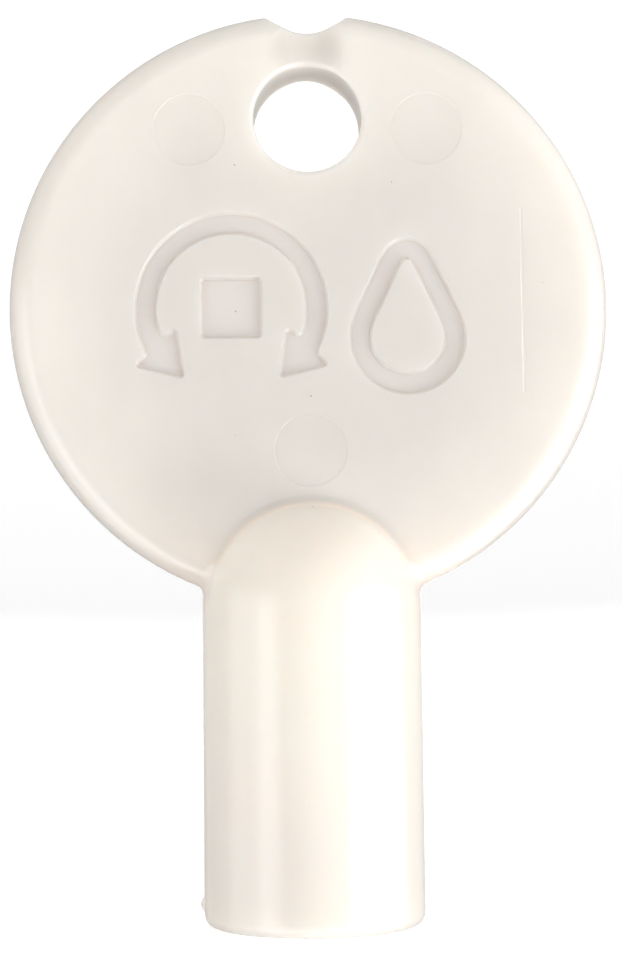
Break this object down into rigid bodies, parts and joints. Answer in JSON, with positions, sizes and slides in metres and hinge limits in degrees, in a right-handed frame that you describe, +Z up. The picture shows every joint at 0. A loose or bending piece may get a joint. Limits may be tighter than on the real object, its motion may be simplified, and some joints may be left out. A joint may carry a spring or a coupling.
{
  "type": "radiator bleed key",
  "caption": "Moulded white key with a flat round head, a hanging hole with a ring seat, and a ball-nosed barrel that holds a brass square socket for bleed valves.",
  "frame": {"origin": "centre of the barrel's end face, where the socket opens", "axes": "+Z up the key from the socket to the head, +X across the head to the right of the pictogram, -Y out of the face that carries the pictogram"},
  "size_m": [0.0388, 0.014, 0.0588],
  "materials": {
    "white_plastic": "warm white, slightly translucent moulded plastic, semi-gloss",
    "brass": "bare turned and broached brass"
  },
  "bodies": {
    "root": {"key_body": "white_plastic", "socket_insert": "brass"}
  },
  "joints": []
}
